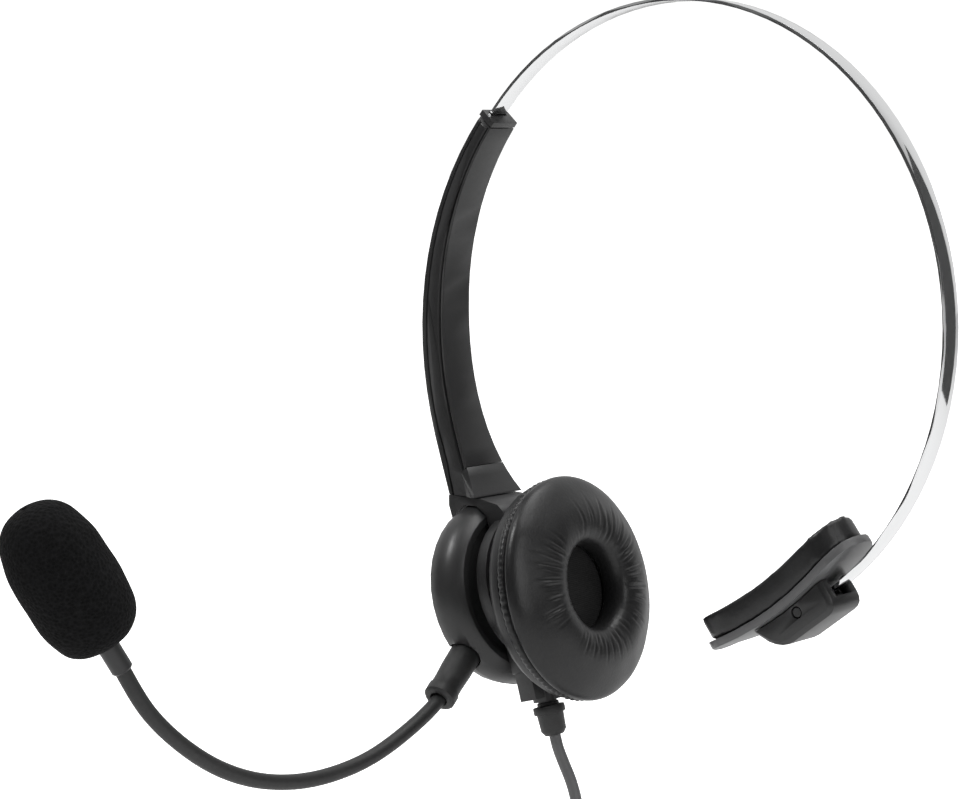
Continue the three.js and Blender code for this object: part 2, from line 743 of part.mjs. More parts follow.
part('temple_cushion', padSlab(PAD_L, PAD_W, -PAD_T, 0), finishes.leatherette, padFrame);
const plateTop = -PAD_T - GAP;
const plateUnder = plateTop - PLATE_T;
part('temple_plate', padSlab(PAD_L + 3, PAD_W, plateUnder, plateTop), finishes.satinPlastic, padFrame);

const HUB_TOP = -9;
const HUB_FLOOR = -17.2;

function hubOutline() {
  const shape = new THREE.Shape();
  shape.moveTo(-10.6, HUB_TOP);
  shape.lineTo(-7.6, -14);
  shape.quadraticCurveTo(-5, HUB_FLOOR, -1.8, HUB_FLOOR);
  shape.lineTo(9.6, HUB_FLOOR);
  shape.quadraticCurveTo(12.6, HUB_FLOOR, 12.6, -14);
  shape.lineTo(12.6, HUB_TOP);
  return shape;
}

function templeHub() {
  const body = acrossY(hubOutline(), HUB_W, 1, 4);
  const plateRoom = padSlab(PAD_L + 3, PAD_W, plateUnder - GAP, 0);
  const room = block(-1.6, 11.4, -4, 4, -16, -8);
  const mouth = block(10, 16, -3, 3, -14.2, -8);
  const pinHole = barY(1.4, 20, 14).translate(PIVOT_X, 0, PIVOT_Z);
  const screwHole = disc(1.3, -20, -8, 12).translate(-5, 0, 0);
  return cut(body, plateRoom, room, mouth, pinHole, screwHole);
}
part('temple_hub', templeHub(), finishes.satinPlastic, padFrame);

part('temple_pivot_pin', barY(1.05, 11.6, 14).translate(PIVOT_X, 0, PIVOT_Z), finishes.springSteel, padFrame);
const hubScrew = countersunkScrew(5, 0.8, 1).rotateX(Math.PI).translate(-5, 0, -11.3);
part('temple_hub_screw', hubScrew, finishes.springSteel, padFrame);

// The strip's end is riveted in a small block that turns on the pin inside the hub.
function stripEndBlock() {
  const body = block(0.4, 10, -3.6, 3.6, -14.6, -11.4);
  const pinHole = barY(1.4, 20, 14).translate(PIVOT_X, 0, PIVOT_Z);
  const inGroup = slotTool(STRIP_T / 2 + GAP, STRIP_W + 2 * GAP, 138, STRIP_END_IN_PAD + 0.3, 4);
  const rivetHole = radialBar(1.1, LOOP_R - 6, LOOP_R + 6, STRIP_END_IN_PAD - 2);
  return cut(body, pinHole, moved(inGroup, group, padFrame), moved(rivetHole, group, padFrame));
}
part('strip_end_block', stripEndBlock(), finishes.satinPlastic, padFrame);

const endRivet = radialBar(0.8, LOOP_R - 1, LOOP_R + 1.6, STRIP_END_IN_PAD - 2);
part('strip_end_rivet', endRivet, finishes.springSteel);

// ---------------------------------------------------------------- cord

const RELIEF_START = 28.3;
const RELIEF_END = 36.4;

// The strain relief: a collar and a short stepped sleeve below the bracket's outlet
function strainRelief() {
  const profile = [
    [0, RELIEF_START], [2.7, RELIEF_START], [2.7, 29.2], [3.9, 29.2], [3.9, 31.1], [3.3, 31.1], [3.1, 35.2],
    [2.2, RELIEF_END], [0, RELIEF_END],
  ];
  return turned(profile, 20).rotateX(Math.PI / 2).translate(RELIEF_X, 0, RELIEF_Z);
}
part('strain_relief', strainRelief(), finishes.rubber, turretFrame);

// The lead hangs from the relief and joins the side of the coil.
const leadPoints = [
  new THREE.Vector3(RELIEF_X, -RELIEF_END - GAP, RELIEF_Z),
  new THREE.Vector3(RELIEF_X, -39.5, 4.1),
  new THREE.Vector3(RELIEF_X, -43.5, 4.9),
  new THREE.Vector3(RELIEF_X, -48, 6.2),
  new THREE.Vector3(RELIEF_X, -53, 7.7),
  new THREE.Vector3(RELIEF_X, -59, 9),
  new THREE.Vector3(RELIEF_X, -68.6, 9.5),
];
const leadCurve = new THREE.CatmullRomCurve3(leadPoints, false, 'centripetal');
part('cord_lead', tube(leadCurve, CORD_R, 8, 7), finishes.rubber, turretFrame);

// The rest of the cord is wound in a round coil that hangs at the end of the lead.
const COIL_X = RELIEF_X + COIL_MEAN_R;
const COIL_Y = -86;
const COIL_Z = 9.5;
const coilRing = turnedRing(COIL_MEAN_R - COIL_HALF, COIL_MEAN_R + COIL_HALF, -COIL_HALF, COIL_HALF, 40);
part('cord_coil', coilRing.translate(COIL_X, COIL_Y, COIL_Z), finishes.rubber, turretFrame);

const PLUG_Z = COIL_Z + COIL_HALF + 4;
const tailPoints = [
  new THREE.Vector3(12, -68.6, COIL_Z + COIL_HALF + GAP + CORD_R),
  new THREE.Vector3(8.5, -68.6, 17.4),
  new THREE.Vector3(5.4, -69, 17.8),
  new THREE.Vector3(0.2, -71.1, 18.6),
  new THREE.Vector3(-3.7, -75.4, 19.3),
  new THREE.Vector3(RELIEF_X, -79.5, PLUG_Z),
];
const tailCurve = new THREE.CatmullRomCurve3(tailPoints, false, 'centripetal');
part('cord_tail', tube(tailCurve, CORD_R, 8, 8), finishes.rubber, turretFrame);

// The plug lies on the coil, along the turns, with its contacts downwards.
function plugPiece(profile, sides) {
  return turned(profile, sides).rotateX(Math.PI / 2).translate(RELIEF_X, 0, PLUG_Z);
}
part('plug_relief', plugPiece([[0, 80], [1.9, 80], [2.6, 86.4], [0, 86.4]], 20), finishes.rubber, turretFrame);
const plugBody = [[0, 86.7], [3.1, 86.7], [3.5, 88], [3.5, 101], [3, 102.6], [0, 102.6]];
part('plug_body', plugPiece(plugBody, 24), finishes.rubber, turretFrame);
const plugTip = [
  [0, 102.9], [2.5, 102.9], [2.5, 103.7], [1.75, 103.7], [1.75, 113.8], [1.3, 114.6], [1.75, 115.6], [0.8, 117.4],
  [0, 117.4],
];
part('plug_tip', plugPiece(plugTip, 20), finishes.gold, turretFrame);

// A flat tie goes round the coil's turns and the plug: a square below and a narrower neck over the plug.
function tieOutline(path, inset) {
  const half = COIL_HALF + 1.3 - inset;
  const neck = 4.4 - inset;
  const low = COIL_Z - half;
  const shoulder = COIL_Z + COIL_HALF;
  const high = PLUG_Z + 4.7 - inset;
  path.moveTo(RELIEF_X - half, low);
  path.lineTo(RELIEF_X + half, low);
  path.lineTo(RELIEF_X + half, shoulder);
  path.lineTo(RELIEF_X + neck, high);
  path.lineTo(RELIEF_X - neck, high);
  path.lineTo(RELIEF_X - half, shoulder);
  return path;
}

function cordTie() {
  const shape = tieOutline(new THREE.Shape(), 0);
  shape.holes.push(tieOutline(new THREE.Path(), 0.8));
  return acrossY(shape, 4.4).translate(0, COIL_Y, 0);
}
part('cord_tie', cordTie(), finishes.rubber, turretFrame);

group.updateMatrixWorld(true);

export default group;
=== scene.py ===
# %% [markdown]
# # An office headset for one ear
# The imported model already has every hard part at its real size: the steel strip, the arm, the turret, the
# ear cup and the small parts inside. Blender adds what CAD can't show: leatherette that wrinkles, foam,
# a cord with its real length, soft edges and surfaces that catch the light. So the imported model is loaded
# first and stays as it is.

import json
import math
import random

import bmesh
import bpy
from mathutils import Matrix, Vector, noise

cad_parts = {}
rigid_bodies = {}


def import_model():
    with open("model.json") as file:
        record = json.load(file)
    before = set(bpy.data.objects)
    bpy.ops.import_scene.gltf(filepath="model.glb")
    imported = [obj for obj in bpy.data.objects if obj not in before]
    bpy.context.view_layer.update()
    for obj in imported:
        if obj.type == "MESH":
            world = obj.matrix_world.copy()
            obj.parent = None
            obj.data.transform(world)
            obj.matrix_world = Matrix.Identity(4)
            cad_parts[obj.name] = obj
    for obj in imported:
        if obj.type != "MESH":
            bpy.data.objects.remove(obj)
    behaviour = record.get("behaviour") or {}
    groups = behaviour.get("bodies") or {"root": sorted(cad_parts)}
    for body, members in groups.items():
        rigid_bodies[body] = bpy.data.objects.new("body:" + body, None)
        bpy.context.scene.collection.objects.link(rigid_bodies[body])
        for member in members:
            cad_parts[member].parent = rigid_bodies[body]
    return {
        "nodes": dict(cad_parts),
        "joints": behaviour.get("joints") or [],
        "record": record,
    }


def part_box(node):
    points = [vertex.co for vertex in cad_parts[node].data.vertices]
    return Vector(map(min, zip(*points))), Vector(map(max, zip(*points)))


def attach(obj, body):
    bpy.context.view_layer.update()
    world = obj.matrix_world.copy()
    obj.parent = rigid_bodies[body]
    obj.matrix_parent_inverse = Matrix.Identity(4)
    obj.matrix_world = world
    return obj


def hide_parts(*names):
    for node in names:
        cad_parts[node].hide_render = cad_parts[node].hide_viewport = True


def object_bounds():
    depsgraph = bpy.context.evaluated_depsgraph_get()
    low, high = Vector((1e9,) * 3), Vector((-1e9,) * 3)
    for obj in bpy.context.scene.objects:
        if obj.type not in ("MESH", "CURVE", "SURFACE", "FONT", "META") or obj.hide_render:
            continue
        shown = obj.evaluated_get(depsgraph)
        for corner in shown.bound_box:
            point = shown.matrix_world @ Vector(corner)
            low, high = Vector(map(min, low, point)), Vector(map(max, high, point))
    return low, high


for leftover in list(bpy.data.objects):
    bpy.data.objects.remove(leftover)

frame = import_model()
nodes = frame["nodes"]
joints = {joint["name"]: joint for joint in frame["joints"]}
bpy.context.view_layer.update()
MM = 0.001

# %% [markdown]
# Most pieces are round and lie along a tilted axis, so it is easier to draw them in a frame of their own.
# The record's joints say where those axes are: the boom turns about the turret's axis, and the ear cup
# tilts and swivels about its ball. A frame is a matrix whose third column is the axis towards the head.

# %% Local frames of the turret, the cup and the microphone
def local_frame(origin, across, upward, axis):
    turned = Matrix((across, upward, axis)).transposed().to_4x4()
    return Matrix.Translation(origin) @ turned


BALL_BEHIND_CUP = 6 * MM
BACKWARDS = Vector((0, 1, 0))

turret_axis = Vector(joints["boom_rotation"]["axis"]).normalized()
turret_centre = Vector(joints["boom_rotation"]["pos_m"])
turret_frame = local_frame(turret_centre, BACKWARDS, turret_axis.cross(BACKWARDS), turret_axis)

cup_across = Vector(joints["ear_cup_tilt"]["axis"]).normalized()
cup_upward = Vector(joints["ear_cup_swivel"]["axis"]).normalized()
cup_axis = cup_across.cross(cup_upward)
cup_centre = Vector(joints["ear_cup_tilt"]["pos_m"]) + cup_axis * BALL_BEHIND_CUP
cup_frame = local_frame(cup_centre, cup_across, cup_upward, cup_axis)


def middle(node):
    low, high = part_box(node)
    return (low + high) / 2


mic_axis = (middle("mic_capsule") - middle("mic_collar")).normalized()
mic_side = mic_axis.orthogonal().normalized()
mic_start = middle("mic_collar") - mic_axis * 0.2 * MM
mic_frame = local_frame(mic_start, mic_side, mic_axis.cross(mic_side), mic_axis)
print("turret axis", turret_axis, "cup axis", cup_axis, "microphone axis", mic_axis)

# %% [markdown]
# The camera stands a little over half a metre away, in front and to the left of the wearer, at ear
# height, and looks slightly down. Its lens is a short telephoto, which keeps the loop from looking
# stretched.

# %% Camera
CAMERA_PLACE = Vector((0.3204, -0.4100, 0.0435))
CAMERA_LOOK = Vector((-0.6759, 0.7274, -0.1184))

camera = bpy.data.objects.new("camera", bpy.data.cameras.new("camera"))
camera.data.sensor_width = 36
camera.data.lens = 85.6
camera.location = CAMERA_PLACE
camera.rotation_euler = CAMERA_LOOK.to_track_quat("-Z", "Y").to_euler()
bpy.context.scene.collection.objects.link(camera)
bpy.context.scene.camera = camera
print("camera", tuple(camera.location))

# %% [markdown]
# ## The cord
# A headset cord is a limp rubber-jacketed cable about 3 mm thick and about 1.6 m long. It leaves
# the strain relief under the bracket, hangs down, and the rest is wound in a round coil with a tie, as
# such a headset is put away. One spline carries it all the way, so its length is real.
#
# The lead and the tail are a few given points, with a smooth curve through them. The coil is a
# loop: each turn moves on by one cord thickness, across the bundle and then in by a layer.

# %% Smooth curve through points
def smooth_path(points, per_span):
    """A centripetal Catmull-Rom curve, which passes through every point without loops."""
    ends = [points[0] * 2 - points[1], *points, points[-1] * 2 - points[-2]]
    path = []
    for before, start, stop, after in zip(ends, ends[1:], ends[2:], ends[3:]):
        t0 = 0.0
        t1 = t0 + (start - before).length ** 0.5
        t2 = t1 + (stop - start).length ** 0.5
        t3 = t2 + (after - stop).length ** 0.5
        for step in range(per_span):
            t = t1 + (t2 - t1) * step / per_span
            a = before.lerp(start, (t - t0) / (t1 - t0))
            b = start.lerp(stop, (t - t1) / (t2 - t1))
            c = stop.lerp(after, (t - t2) / (t3 - t2))
            d = a.lerp(b, (t - t0) / (t2 - t0))
            e = b.lerp(c, (t - t1) / (t3 - t1))
            path.append(d.lerp(e, (t - t1) / (t2 - t1)))
    path.append(points[-1].copy())
    return path


def path_length(path):
    return sum((b - a).length for a, b in zip(path, path[1:]))


def in_mm(points, place):
    return [place @ (Vector(point) * MM) for point in points]


print("straight test:", path_length(smooth_path([Vector((0, 0, i)) for i in range(4)], 5)))

# %% Route of the cord
CORD_DIAMETER = 2.9 * MM
RELIEF_X = -4.3
COIL_CENTRE = (RELIEF_X + 17, -86, 9.5)
TURN_STEP = 3
LAYER_RADII = (21.5, 18.5, 15.5, 12.5)
TURNS_IN_LAYER = 4
STEPS_PER_TURN = 32
LAST_TURNS = 1

lead = [
    (RELIEF_X, -35.2, 4),
    (RELIEF_X, -39.5, 4.1),
    (RELIEF_X, -43.5, 4.9),
    (RELIEF_X - 0.2, -48, 6.1),
    (RELIEF_X - 0.9, -53, 7),
    (RELIEF_X - 2.1, -59, 6.9),
    (RELIEF_X - 3.4, -66, 5.9),
    (RELIEF_X - 4.2, -74, 5.1),
]


def coil_places():
    """Layer radius and place across the bundle for each turn, from the outermost layer inwards."""
    places = []
    for layer, radius in enumerate(LAYER_RADII):
        across = [TURN_STEP * (k - (TURNS_IN_LAYER - 1) / 2) for k in range(TURNS_IN_LAYER)]
        across = across if layer % 2 == 0 else across[::-1]
        places += [(radius, place) for place in across]
    return places[: TURNS_IN_LAYER * 3 + LAST_TURNS]


def coil_point(angle, radius, across):
    x, y, z = COIL_CENTRE
    return (x + radius * math.cos(angle), y + radius * math.sin(angle), z + across)


def coil_points():
    """Each turn keeps to its place and moves on to the next in its last third."""
    places = coil_places()
    points = []
    for (radius, across), following in zip(places, [*places[1:], places[-1]]):
        for step in range(STEPS_PER_TURN):
            share = step / STEPS_PER_TURN
            move = max(0.0, (share - 0.66) / 0.34)
            move = move * move * (3 - 2 * move)
            points.append(
                coil_point(
                    math.pi + 2 * math.pi * share,
                    radius + (following[0] - radius) * move,
                    across + (following[1] - across) * move,
                )
            )
    return points


tail = [
    coil_point(math.radians(180 + 10), 12.5, 4.6),
    coil_point(math.radians(180 + 60), 12.5, 5.2),
    coil_point(math.radians(180 + 110), 12.7, 6.6),
    coil_point(math.radians(180 + 160), 13.2, 7.8),
    coil_point(math.radians(180 + 210), 14.4, 8),
    coil_point(math.radians(180 + 245), 16.2, 8),
    (8.5, -68.6, 17.6),
    (5.4, -69, 17.8),
    (0.2, -71.1, 18.6),
    (-3.7, -75.4, 19.3),
    (RELIEF_X, -79.5, 19.5),
]

coil = in_mm(coil_points(), turret_frame)
lead_path = smooth_path([*in_mm(lead, turret_frame), coil[0]], 4)
tail_path = smooth_path([coil[-1], *in_mm(tail, turret_frame)], 4)
cord_path = [*lead_path[:-1], *coil, *tail_path[1:]]
print("cord length", round(path_length(cord_path), 3), "m in", len(cord_path), "points")

# %% The cord as one spline
def spline_tube(name, path, radius, sides):
    data = bpy.data.curves.new(name, "CURVE")
    data.dimensions = "3D"
    spline = data.splines.new("POLY")
    spline.points.add(len(path) - 1)
    for point, place in zip(spline.points, path):
        point.co = (*place, 1)
        point.radius = radius
    data.bevel_depth = 1
    data.bevel_resolution = sides
    data.use_fill_caps = True
    spline.use_smooth = True
    piece = bpy.data.objects.new(name, data)
    bpy.context.scene.collection.objects.link(piece)
    return piece


cord = spline_tube("cord", cord_path, CORD_DIAMETER / 2, 4)
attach(cord, "arm")
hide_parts("cord_lead", "cord_coil", "cord_tail")
print("cord spline:", len(cord.data.splines[0].points), "points")

# %% [markdown]
# ## Floor and light
# The headset is shown in a white studio: a white table and a white wall, both lit from behind. What
# the camera sees of them is pure white, but they throw little light on the object, because black
# plastic only looks black if what it mirrors towards us is dim. A light path node tells the two apart.

# %% Floor
FLOOR_GAP = 2 * MM
FLOOR_LIGHT = 0.12


def seen_by_camera(tree, seen, otherwise):
    """A strength that is one value to the camera and another to every bounce."""
    path = tree.nodes.new("ShaderNodeLightPath")
    choose = tree.nodes.new("ShaderNodeMapRange")
    choose.inputs["To Max"].default_value = seen
    if isinstance(otherwise, (int, float)):
        choose.inputs["To Min"].default_value = otherwise
    else:
        tree.links.new(otherwise, choose.inputs["To Min"])
    tree.links.new(path.outputs["Is Camera Ray"], choose.inputs["Value"])
    return choose.outputs["Result"]


def plain_material(name, colour, roughness):
    material = bpy.data.materials.new(name)
    material.use_nodes = True
    shader = material.node_tree.nodes["Principled BSDF"]
    shader.inputs["Base Color"].default_value = (*colour, 1)
    shader.inputs["Roughness"].default_value = roughness
    return material, shader


low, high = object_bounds()
bpy.ops.object.select_all(action="DESELECT")
bpy.ops.mesh.primitive_plane_add(size=14, location=(0, 0, low.z - FLOOR_GAP))
floor = bpy.context.object
floor.name = "floor"
floor_material, floor_shader = plain_material("lit_white_table", (0.85, 0.85, 0.85), 0.9)
floor_shader.inputs["Emission Color"].default_value = (1, 1, 1, 1)
floor_material.node_tree.links.new(
    seen_by_camera(floor_material.node_tree, 1.0, FLOOR_LIGHT), floor_shader.inputs["Emission Strength"]
)
floor.data.materials.append(floor_material)
print("floor at", round(floor.location.z, 4))

# %% World
BEHIND_OBJECT = (CAMERA_LOOK + Vector((0, 0, 0.3))).normalized()
WORLD_DIM = 0.06
WORLD_BRIGHT = 0.75

world = bpy.data.worlds.new("studio")
bpy.context.scene.world = world
world.use_nodes = True
tree = world.node_tree
place = tree.nodes.new("ShaderNodeTexCoord")
facing = tree.nodes.new("ShaderNodeVectorMath")
facing.operation = "DOT_PRODUCT"
facing.inputs[1].default_value = BEHIND_OBJECT
spread = tree.nodes.new("ShaderNodeMapRange")
spread.interpolation_type = "SMOOTHSTEP"
spread_ends = {"From Min": -0.45, "From Max": 0.75, "To Min": WORLD_DIM, "To Max": WORLD_BRIGHT}
for socket, value in spread_ends.items():
    spread.inputs[socket].default_value = value
tree.links.new(place.outputs["Generated"], facing.inputs[0])
tree.links.new(facing.outputs["Value"], spread.inputs["Value"])
tree.links.new(
    seen_by_camera(tree, 1.1, spread.outputs["Result"]), tree.nodes["Background"].inputs["Strength"]
)
tree.nodes["Background"].inputs["Color"].default_value = (1, 1, 1, 1)
bpy.context.scene.view_settings.view_transform = "Standard"
print("world from", WORLD_DIM, "to", WORLD_BRIGHT)

# %% Soft lights
def softbox(name, place, target, size, power):
    light = bpy.data.objects.new(name, bpy.data.lights.new(name, "AREA"))
    light.data.shape = "RECTANGLE"
    light.data.size, light.data.size_y = size
    light.data.energy = power
    light.location = place
    light.rotation_euler = (Vector(target) - Vector(place)).to_track_quat("-Z", "Y").to_euler()
    bpy.context.scene.collection.objects.link(light)
    return light


softbox("key_light", (-0.45, -0.65, 1.1), (-0.02, 0, -0.03), (0.3, 0.3), 7)
softbox("right_light", (0.9, -0.25, 0.5), (0, 0, -0.04), (0.3, 0.7), 2.5)
softbox("top_light", (0.1, 0.25, 1), (0, 0, 0), (0.8, 0.6), 5)

# %% [markdown]
# The polished strip is a mirror, so it needs something to mirror. A dark card stands to the right
# behind it, out of view, and gives the one dark band that tells the eye that the metal is bright and
# curved. A second card at the front left darkens the strip's thin edge, which draws its outline.

# %% Dark cards for the strip to mirror
card_material, _ = plain_material("black_card", (0.07, 0.07, 0.07), 1)


def dark_card(name, place, facing_to, width, height):
    bpy.ops.object.select_all(action="DESELECT")
    bpy.ops.mesh.primitive_plane_add(size=1, location=place)
    card = bpy.context.object
    card.name = name
    card.scale = (width, height, 1)
    card.rotation_euler = (Vector(facing_to) - Vector(place)).to_track_quat("Z", "Y").to_euler()
    card.data.materials.append(card_material)
    card.visible_camera = False
    card.visible_shadow = False
    card.visible_diffuse = False
    return card


dark_card("dark_card_right", (0.293, 0.307, 0.085), (0.07, 0, 0.085), 0.24, 0.43)
dark_card("dark_card_front", (-0.4, -0.44, -0.03), (0, 0, -0.03), 0.5, 0.5)

# %% [markdown]
# ## Finishes
# Every finish starts from the same few effects, so each effect is a node group that is made once:
# a moulded grain with a slow change in roughness where hands have been, and a faint dust. A group hands
# out only colours, values and normals. The shader itself stays in each material.

# %% Helper for node groups
def new_group(name, inputs, outputs):
    group = bpy.data.node_groups.new(name, "ShaderNodeTree")
    for label, kind, value in inputs:
        socket = group.interface.new_socket(label, in_out="INPUT", socket_type=kind)
        socket.default_value = value
    for label, kind in outputs:
        group.interface.new_socket(label, in_out="OUTPUT", socket_type=kind)
    return group, group.nodes.new("NodeGroupInput"), group.nodes.new("NodeGroupOutput")


def add(tree, kind, **settings):
    node = tree.nodes.new(kind)
    for key, value in settings.items():
        if key in node.bl_rna.properties:
            setattr(node, key, value)
        else:
            node.inputs[key.replace("_", " ")].default_value = value
    return node


print("helpers ready")

# %% Node group: moulded grain
def grain_group():
    """Fine bumps and patchy roughness, as spark-eroded moulds leave them and hands polish them."""
    group, given, result = new_group(
        "moulded_grain",
        [
            ("Grain Size", "NodeSocketFloat", 2500),
            ("Grain Depth", "NodeSocketFloat", 0.00003),
            ("Roughness", "NodeSocketFloat", 0.45),
            ("Patchiness", "NodeSocketFloat", 0.08),
        ],
        [("Roughness", "NodeSocketFloat"), ("Normal", "NodeSocketVector")],
    )
    place = add(group, "ShaderNodeTexCoord")
    fine = add(group, "ShaderNodeTexNoise", Detail=3.0, Roughness=0.6)
    bump = add(group, "ShaderNodeBump", Strength=0.7)
    slow = add(group, "ShaderNodeTexNoise", Scale=55.0, Detail=4.0)
    spread = add(group, "ShaderNodeMath", operation="MULTIPLY_ADD")
    centred = add(group, "ShaderNodeMath", operation="SUBTRACT")
    centred.inputs[1].default_value = 0.5
    link = group.links.new
    link(place.outputs["Object"], fine.inputs["Vector"])
    link(place.outputs["Object"], slow.inputs["Vector"])
    link(given.outputs["Grain Size"], fine.inputs["Scale"])
    link(given.outputs["Grain Depth"], bump.inputs["Distance"])
    link(fine.outputs["Fac"], bump.inputs["Height"])
    link(slow.outputs["Fac"], centred.inputs[0])
    link(centred.outputs[0], spread.inputs[0])
    link(given.outputs["Patchiness"], spread.inputs[1])
    link(given.outputs["Roughness"], spread.inputs[2])
    link(spread.outputs[0], result.inputs["Roughness"])
    link(bump.outputs["Normal"], result.inputs["Normal"])
    return group


grain = grain_group()
print("group", grain.name)

# %% Node group: faint dust
def dust_group():
    """Black plastic always carries a little pale dust, more in some places than others."""
    group, given, result = new_group(
        "faint_dust",
        [
            ("Colour", "NodeSocketColor", (0.02, 0.02, 0.02, 1)),
            ("Dust Colour", "NodeSocketColor", (0.12, 0.12, 0.12, 1)),
            ("Amount", "NodeSocketFloat", 0.1),
        ],
        [("Colour", "NodeSocketColor")],
    )
    place = add(group, "ShaderNodeTexCoord")
    specks = add(group, "ShaderNodeTexNoise", Scale=900.0, Detail=2.0)
    clouds = add(group, "ShaderNodeTexNoise", Scale=40.0, Detail=3.0)
    both = add(group, "ShaderNodeMath", operation="MULTIPLY")
    scaled = add(group, "ShaderNodeMath", operation="MULTIPLY")
    mix = add(group, "ShaderNodeMix", data_type="RGBA")
    link = group.links.new
    link(place.outputs["Object"], specks.inputs["Vector"])
    link(place.outputs["Object"], clouds.inputs["Vector"])
    link(specks.outputs["Fac"], both.inputs[0])
    link(clouds.outputs["Fac"], both.inputs[1])
    link(both.outputs[0], scaled.inputs[0])
    link(given.outputs["Amount"], scaled.inputs[1])
    link(scaled.outputs[0], mix.inputs["Factor"])
    link(given.outputs["Colour"], mix.inputs["A"])
    link(given.outputs["Dust Colour"], mix.inputs["B"])
    link(mix.outputs["Result"], result.inputs["Colour"])
    return group


dust = dust_group()
print("group", dust.name)

# %% A material made from the groups
def finish(name, colour, roughness, grain_size=2500, depth=0.00003, patch=0.08, dusty=0.1, metal=0.0):
    material = bpy.data.materials.new(name)
    material.use_nodes = True
    tree = material.node_tree
    shader = tree.nodes["Principled BSDF"]
    surface = add(tree, "ShaderNodeGroup", node_tree=grain)
    surface.inputs["Grain Size"].default_value = grain_size
    surface.inputs["Grain Depth"].default_value = depth
    surface.inputs["Roughness"].default_value = roughness
    surface.inputs["Patchiness"].default_value = patch
    cover = add(tree, "ShaderNodeGroup", node_tree=dust)
    cover.inputs["Colour"].default_value = (*colour, 1)
    cover.inputs["Amount"].default_value = dusty
    tree.links.new(surface.outputs["Roughness"], shader.inputs["Roughness"])
    tree.links.new(surface.outputs["Normal"], shader.inputs["Normal"])
    tree.links.new(cover.outputs["Colour"], shader.inputs["Base Color"])
    shader.inputs["Metallic"].default_value = metal
    return material


moulded_black = finish("moulded_black", (0.014, 0.014, 0.0145), 0.42)
satin_black = finish("satin_black", (0.026, 0.026, 0.0265), 0.36, 3200, 0.00002)
soft_rubber = finish("soft_rubber", (0.016, 0.016, 0.016), 0.5, 3800, 0.00002, 0.12, 0.2)
polished_steel = finish("polished_steel", (0.86, 0.865, 0.87), 0.07, 900, 0.000002, 0.05, 0.0, 1.0)
plain_steel = finish("plain_steel", (0.5, 0.5, 0.51), 0.32, 2200, 0.00001, 0.1, 0.0, 1.0)
gold_plate = finish("gold_plate", (0.83, 0.6, 0.24), 0.2, 2000, 0.000005, 0.08, 0.0, 1.0)
green_board = finish("green_board", (0.014, 0.1, 0.034), 0.4)
clear_film = finish("amber_film", (0.42, 0.34, 0.2), 0.3, 1800, 0.00001)
# Painted reflection: the temple plate's pale grey stands in for the light that its glossy underside
# catches.
plate_painted_reflection = finish("plate_grey_painted_reflection", (0.11, 0.11, 0.112), 0.38, 3000, 0.00002)
grey_jacket = finish("grey_cord_jacket", (0.13, 0.13, 0.132), 0.5, 3800, 0.00002, 0.12, 0.1)
print("finishes:", [m.name for m in bpy.data.materials])

# %% [markdown]
# Leatherette is a thin plastic skin with a pebbled grain, a soft sheen and fine creases. Voronoi cells
# give the pebbles, and a slower noise makes the sheen uneven.

# %% Leatherette
def leatherette_material():
    material = finish("leatherette", (0.011, 0.011, 0.0115), 0.36, 3000, 0.00002, 0.16, 0.1)
    tree = material.node_tree
    shader = tree.nodes["Principled BSDF"]
    place = add(tree, "ShaderNodeTexCoord")
    pebbles = add(tree, "ShaderNodeTexVoronoi", feature="SMOOTH_F1", Scale=1500.0)
    bump = add(tree, "ShaderNodeBump", Strength=0.35, Distance=0.00006)
    surface = next(node for node in tree.nodes if node.type == "GROUP" and node.node_tree == grain)
    tree.links.new(place.outputs["Object"], pebbles.inputs["Vector"])
    tree.links.new(pebbles.outputs["Distance"], bump.inputs["Height"])
    tree.links.new(surface.outputs["Normal"], bump.inputs["Normal"])
    tree.links.new(bump.outputs["Normal"], shader.inputs["Normal"])
    shader.inputs["Specular IOR Level"].default_value = 0.42
    return material


leatherette = leatherette_material()
print("made", leatherette.name)

# %% [markdown]
# Open-cell foam is full of tiny holes that swallow light, so it looks deep matte black with a crumbly
# surface. Dark cells in the colour and a strong fine bump give that.

# %% Foam
def foam_material():
    material = finish("open_foam", (0.006, 0.006, 0.006), 0.95, 1400, 0.0002, 0.03, 0.0)
    tree = material.node_tree
    shader = tree.nodes["Principled BSDF"]
    place = add(tree, "ShaderNodeTexCoord")
    cells = add(tree, "ShaderNodeTexVoronoi", Scale=1300.0)
    shade = add(tree, "ShaderNodeMix", data_type="RGBA")
    shade.inputs["A"].default_value = (0.0025, 0.0025, 0.0025, 1)
    shade.inputs["B"].default_value = (0.011, 0.011, 0.0115, 1)
    bump = add(tree, "ShaderNodeBump", Strength=0.8, Distance=0.00035)
    tree.links.new(place.outputs["Object"], cells.inputs["Vector"])
    tree.links.new(cells.outputs["Distance"], shade.inputs["Factor"])
    tree.links.new(cells.outputs["Distance"], bump.inputs["Height"])
    tree.links.new(shade.outputs["Result"], shader.inputs["Base Color"])
    tree.links.new(bump.outputs["Normal"], shader.inputs["Normal"])
    shader.inputs["Specular IOR Level"].default_value = 0.15
    return material


open_foam = foam_material()
print("made", open_foam.name)

# %% [markdown]
# The cloth in front of the speaker is a plain weave. Two wave patterns at right angles, multiplied,
# give threads that go over and under.

